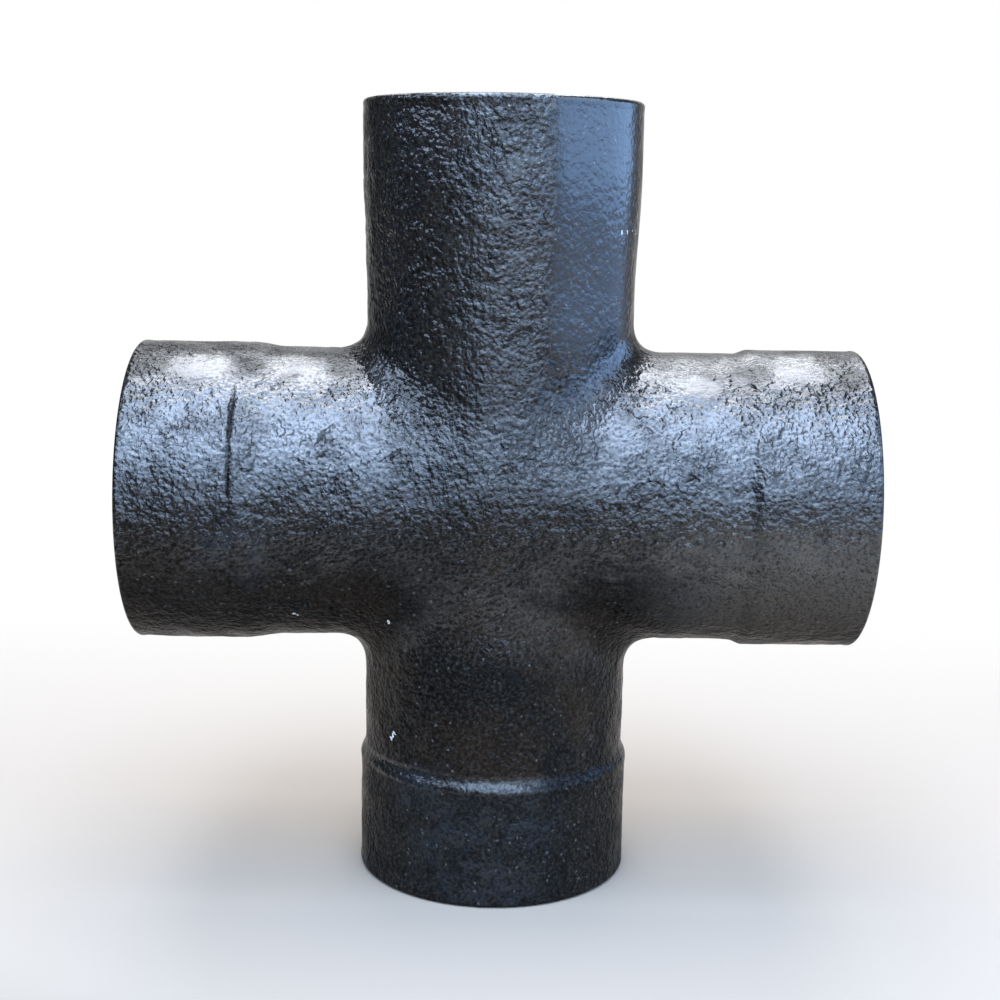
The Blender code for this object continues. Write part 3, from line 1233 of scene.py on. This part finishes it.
@dataclass
class Studio:
    """A pale sheet, a dim bluish world, softboxes and the camera at the photograph's angle."""

    target: np.ndarray

    # The sheet lies level from its front to its bend, a hair below the part, and its top stands behind
    sheet_front: float = -2.0
    sheet_bend: float = 1.1
    sheet_radius: float = 0.6
    sheet_top: float = 2.6
    sheet_width: float = 5.0
    sheet_gap: float = 0.2 * MM
    bend_points: int = 25
    sheet_colour: str = "#b4a696"
    # In front of the casting and out of view it is darker, which its undersides reflect: from a line that
    # slants across the front to one further ahead
    dark_colour: str = "#453e36"
    dark_slant: float = 0.5
    dark_start: tuple[float, float] = (-0.38, -0.18)
    dark_stop: tuple[float, float] = (-0.60, -0.95)
    # Behind the casting and not too far aside, the camera and reflections see it as plain white
    white: str = "#ffffff"
    white_behind: tuple[float, float] = (0.04, 0.42)
    white_aside: tuple[float, float] = (1.05, 0.75)

    # The world's strength overhead, the share of it near the horizon, and where it rises between them
    world_colour: str = "#d3e2ff"
    world_strength: float = 0.2
    world_rest: float = 0.6
    world_climb: tuple[float, float] = (0.32, 0.60)

    softboxes: tuple[Softbox, ...] = (
        Softbox("overhead", (0.0, -0.5, 1.3), 1.2, 0.85, 8.3, "#c4dcff"),
        Softbox("overhead_back", (0.0, 0.36, 1.3), 1.1, 0.8, 7.7, "#ecf3ff"),
        Softbox("front_high", (0.0, -1.2, 1.0), 1.4, 0.6, 5.3, "#bcd9ff"),
        Softbox("front_low", (0.22, -1.4, 0.475), 1.6, 0.65, 2.4, "#bedaff"),
        Softbox("front_sill", (0.22, -1.45, 0.08), 1.6, 0.14, 0.9, "#bcd7ff"),
        Softbox("behind", (0.0, 1.1, 1.0), 1.0, 0.4, 5.3, "#f4f8ff"),
        Softbox("left_wing", (-0.95, -0.45, 0.84), 1.1, 0.5, 3.5, "#c6ddff"),
        Softbox("right_wing", (0.95, -0.45, 0.84), 0.9, 0.5, 2.4, "#c6ddff"),
        Softbox("right", (1.03, -0.10, 0.42), 1.9, 0.38, 2.9, "#9cc6ff"),
        Softbox("right_low", (1.03, -0.10, 0.15), 1.9, 0.16, 0.9, "#a6caff"),
    )

    # The camera stands in front of the casting and looks slightly down at the middle of the cross
    distance: float = 670.4 * MM
    tilt_deg: float = 10.07
    yaw_deg: float = -0.54
    roll_deg: float = 0.98
    focal_px: float = 1628.4
    middle_px: tuple[float, float] = (497.5, 492.8)
    sensor: float = 36.0
    clip_start: float = 10 * MM

    def build(self) -> None:
        """Builds the floor, the surroundings, the lights and the camera."""
        self.floor()
        self.surroundings()
        for box in self.softboxes:
            box.build(self.target)
        self.camera()

    def floor(self) -> None:
        """Adds the sheet: level under the casting and curved up behind it in a quarter circle."""
        bend = np.linspace(0, math.pi / 2, self.bend_points)
        along = self.sheet_bend + self.sheet_radius * np.sin(bend)
        height = self.sheet_radius * (1 - np.cos(bend))
        profile = np.concatenate(
            [[[self.sheet_front, 0.0]], np.stack([along, height], axis=-1), [[along[-1], self.sheet_top]]]
        )
        across = np.array([-self.sheet_width / 2, self.sheet_width / 2])
        along, up = profile[None, :, 0], profile[None, :, 1] - self.sheet_gap
        points = np.stack(np.broadcast_arrays(across[:, None], along, up), axis=-1)
        index = np.arange(points.size // 3).reshape(2, -1)
        faces = np.stack([index[0, :-1], index[1, :-1], index[1, 1:], index[0, 1:]], axis=-1)
        mesh = bpy.data.meshes.new("floor")
        mesh.from_pydata(points.reshape(-1, 3), [], faces.tolist())
        mesh.shade_smooth()
        floor = bpy.data.objects.new("floor", mesh)
        bpy.context.scene.collection.objects.link(floor)
        mesh.materials.append(self.sheet_material())

    def sheet_material(self) -> bpy.types.Material:
        """Matt pale card, darker in front, and plain white behind the casting in the camera's view.

        Returns:
            The sheet's material.
        """
        material = bpy.data.materials.new("pale_card")
        graph = NodeGraph(material)
        place = graph.add_node("TexCoord").outputs["Object"]
        across, ahead, _ = graph.add_node("SeparateXYZ", {"Vector": place}).outputs
        path = graph.add_node("LightPath").outputs
        seen: Feed = path["Is Camera Ray"]
        for ray in ("Is Glossy Ray", "Is Transmission Ray"):
            seen = graph.add_node("Math", {0: seen, 1: path[ray]}, operation="MAXIMUM")
        aside = graph.add_node("Math", {0: across}, operation="ABSOLUTE")
        white = graph.faded(seen, (ahead, self.white_behind, 0.0), (aside, self.white_aside, 0.0))
        slanting = graph.add_node(
            "Math", {0: across, 1: self.dark_slant, 2: ahead}, operation="MULTIPLY_ADD"
        )
        near = graph.faded(1.0, (slanting, self.dark_start, 0.0))
        beyond = graph.faded(1.0, (ahead, self.dark_stop, 0.0))
        pale = graph.add_node("Math", {0: near, 1: beyond}, operation="MAXIMUM")
        colours = {6: linear_colour(self.dark_colour), 7: linear_colour(self.sheet_colour)}
        shade = graph.add_node("Mix", {0: pale} | colours, data_type="RGBA").outputs[2]
        card = graph.add_node("BsdfDiffuse", {"Color": shade})
        light = graph.add_node("Emission", {"Color": linear_colour(self.white), "Strength": 1.0})
        graph.add_node(
            "OutputMaterial", {"Surface": graph.add_node("MixShader", {0: white, 1: card, 2: light})}
        )
        return material

    def surroundings(self) -> None:
        """Adds the world: dim and bluish, and weaker near the horizon than overhead."""
        world = bpy.data.worlds.new("studio")
        bpy.context.scene.world = world
        graph = NodeGraph(world)
        direction = graph.add_node("TexCoord").outputs["Generated"]
        up = graph.add_node("SeparateXYZ", {"Vector": direction}).outputs["Z"]
        level = graph.faded(self.world_strength, (up, self.world_climb, self.world_rest))
        sky = {"Color": linear_colour(self.world_colour), "Strength": level}
        graph.add_node("OutputWorld", {"Surface": graph.add_node("Background", sky)})

    def camera(self) -> None:
        """Adds the camera: behind it lies the direction of tilt and yaw, and it is rolled about its axis."""
        tilt, yaw, roll = (math.radians(angle) for angle in (self.tilt_deg, self.yaw_deg, self.roll_deg))
        back = np.array([math.sin(yaw) * math.cos(tilt), -math.cos(yaw) * math.cos(tilt), math.sin(tilt)])
        level = np.array([math.cos(yaw), math.sin(yaw), 0.0])
        upward = np.cross(back, level)
        right = math.cos(roll) * level + math.sin(roll) * upward
        top = -math.sin(roll) * level + math.cos(roll) * upward
        data = bpy.data.cameras.new("camera")
        data.sensor_width = self.sensor
        data.lens = self.focal_px * self.sensor / PHOTO_SIDE_PX
        data.shift_x = (PHOTO_SIDE_PX / 2 - self.middle_px[0]) / PHOTO_SIDE_PX
        data.shift_y = (self.middle_px[1] - PHOTO_SIDE_PX / 2) / PHOTO_SIDE_PX
        data.clip_start = self.clip_start
        camera = bpy.data.objects.new("camera", data)
        camera.matrix_world = placement(right, top, back, self.target + back * self.distance)
        bpy.context.scene.collection.objects.link(camera)
        bpy.context.scene.camera = camera


def main() -> None:
    """Builds the coated casting and the studio, and reports each piece."""
    logging.basicConfig(level=logging.INFO, format="%(name)s: %(message)s")
    cross = CrossCasting()
    casting = cross.build()
    casting.data.materials.append(CoatNodes(BituminousCoat()).finished())
    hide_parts(cross.node)
    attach(casting, "root")
    LOG.info("%s: %d quads", casting.name, len(casting.data.polygons))
    Studio(np.array([0.0, 0.0, cross.middle_height])).build()
    bpy.context.scene.view_settings.view_transform = "Standard"


if __name__ == "__main__":
    main()
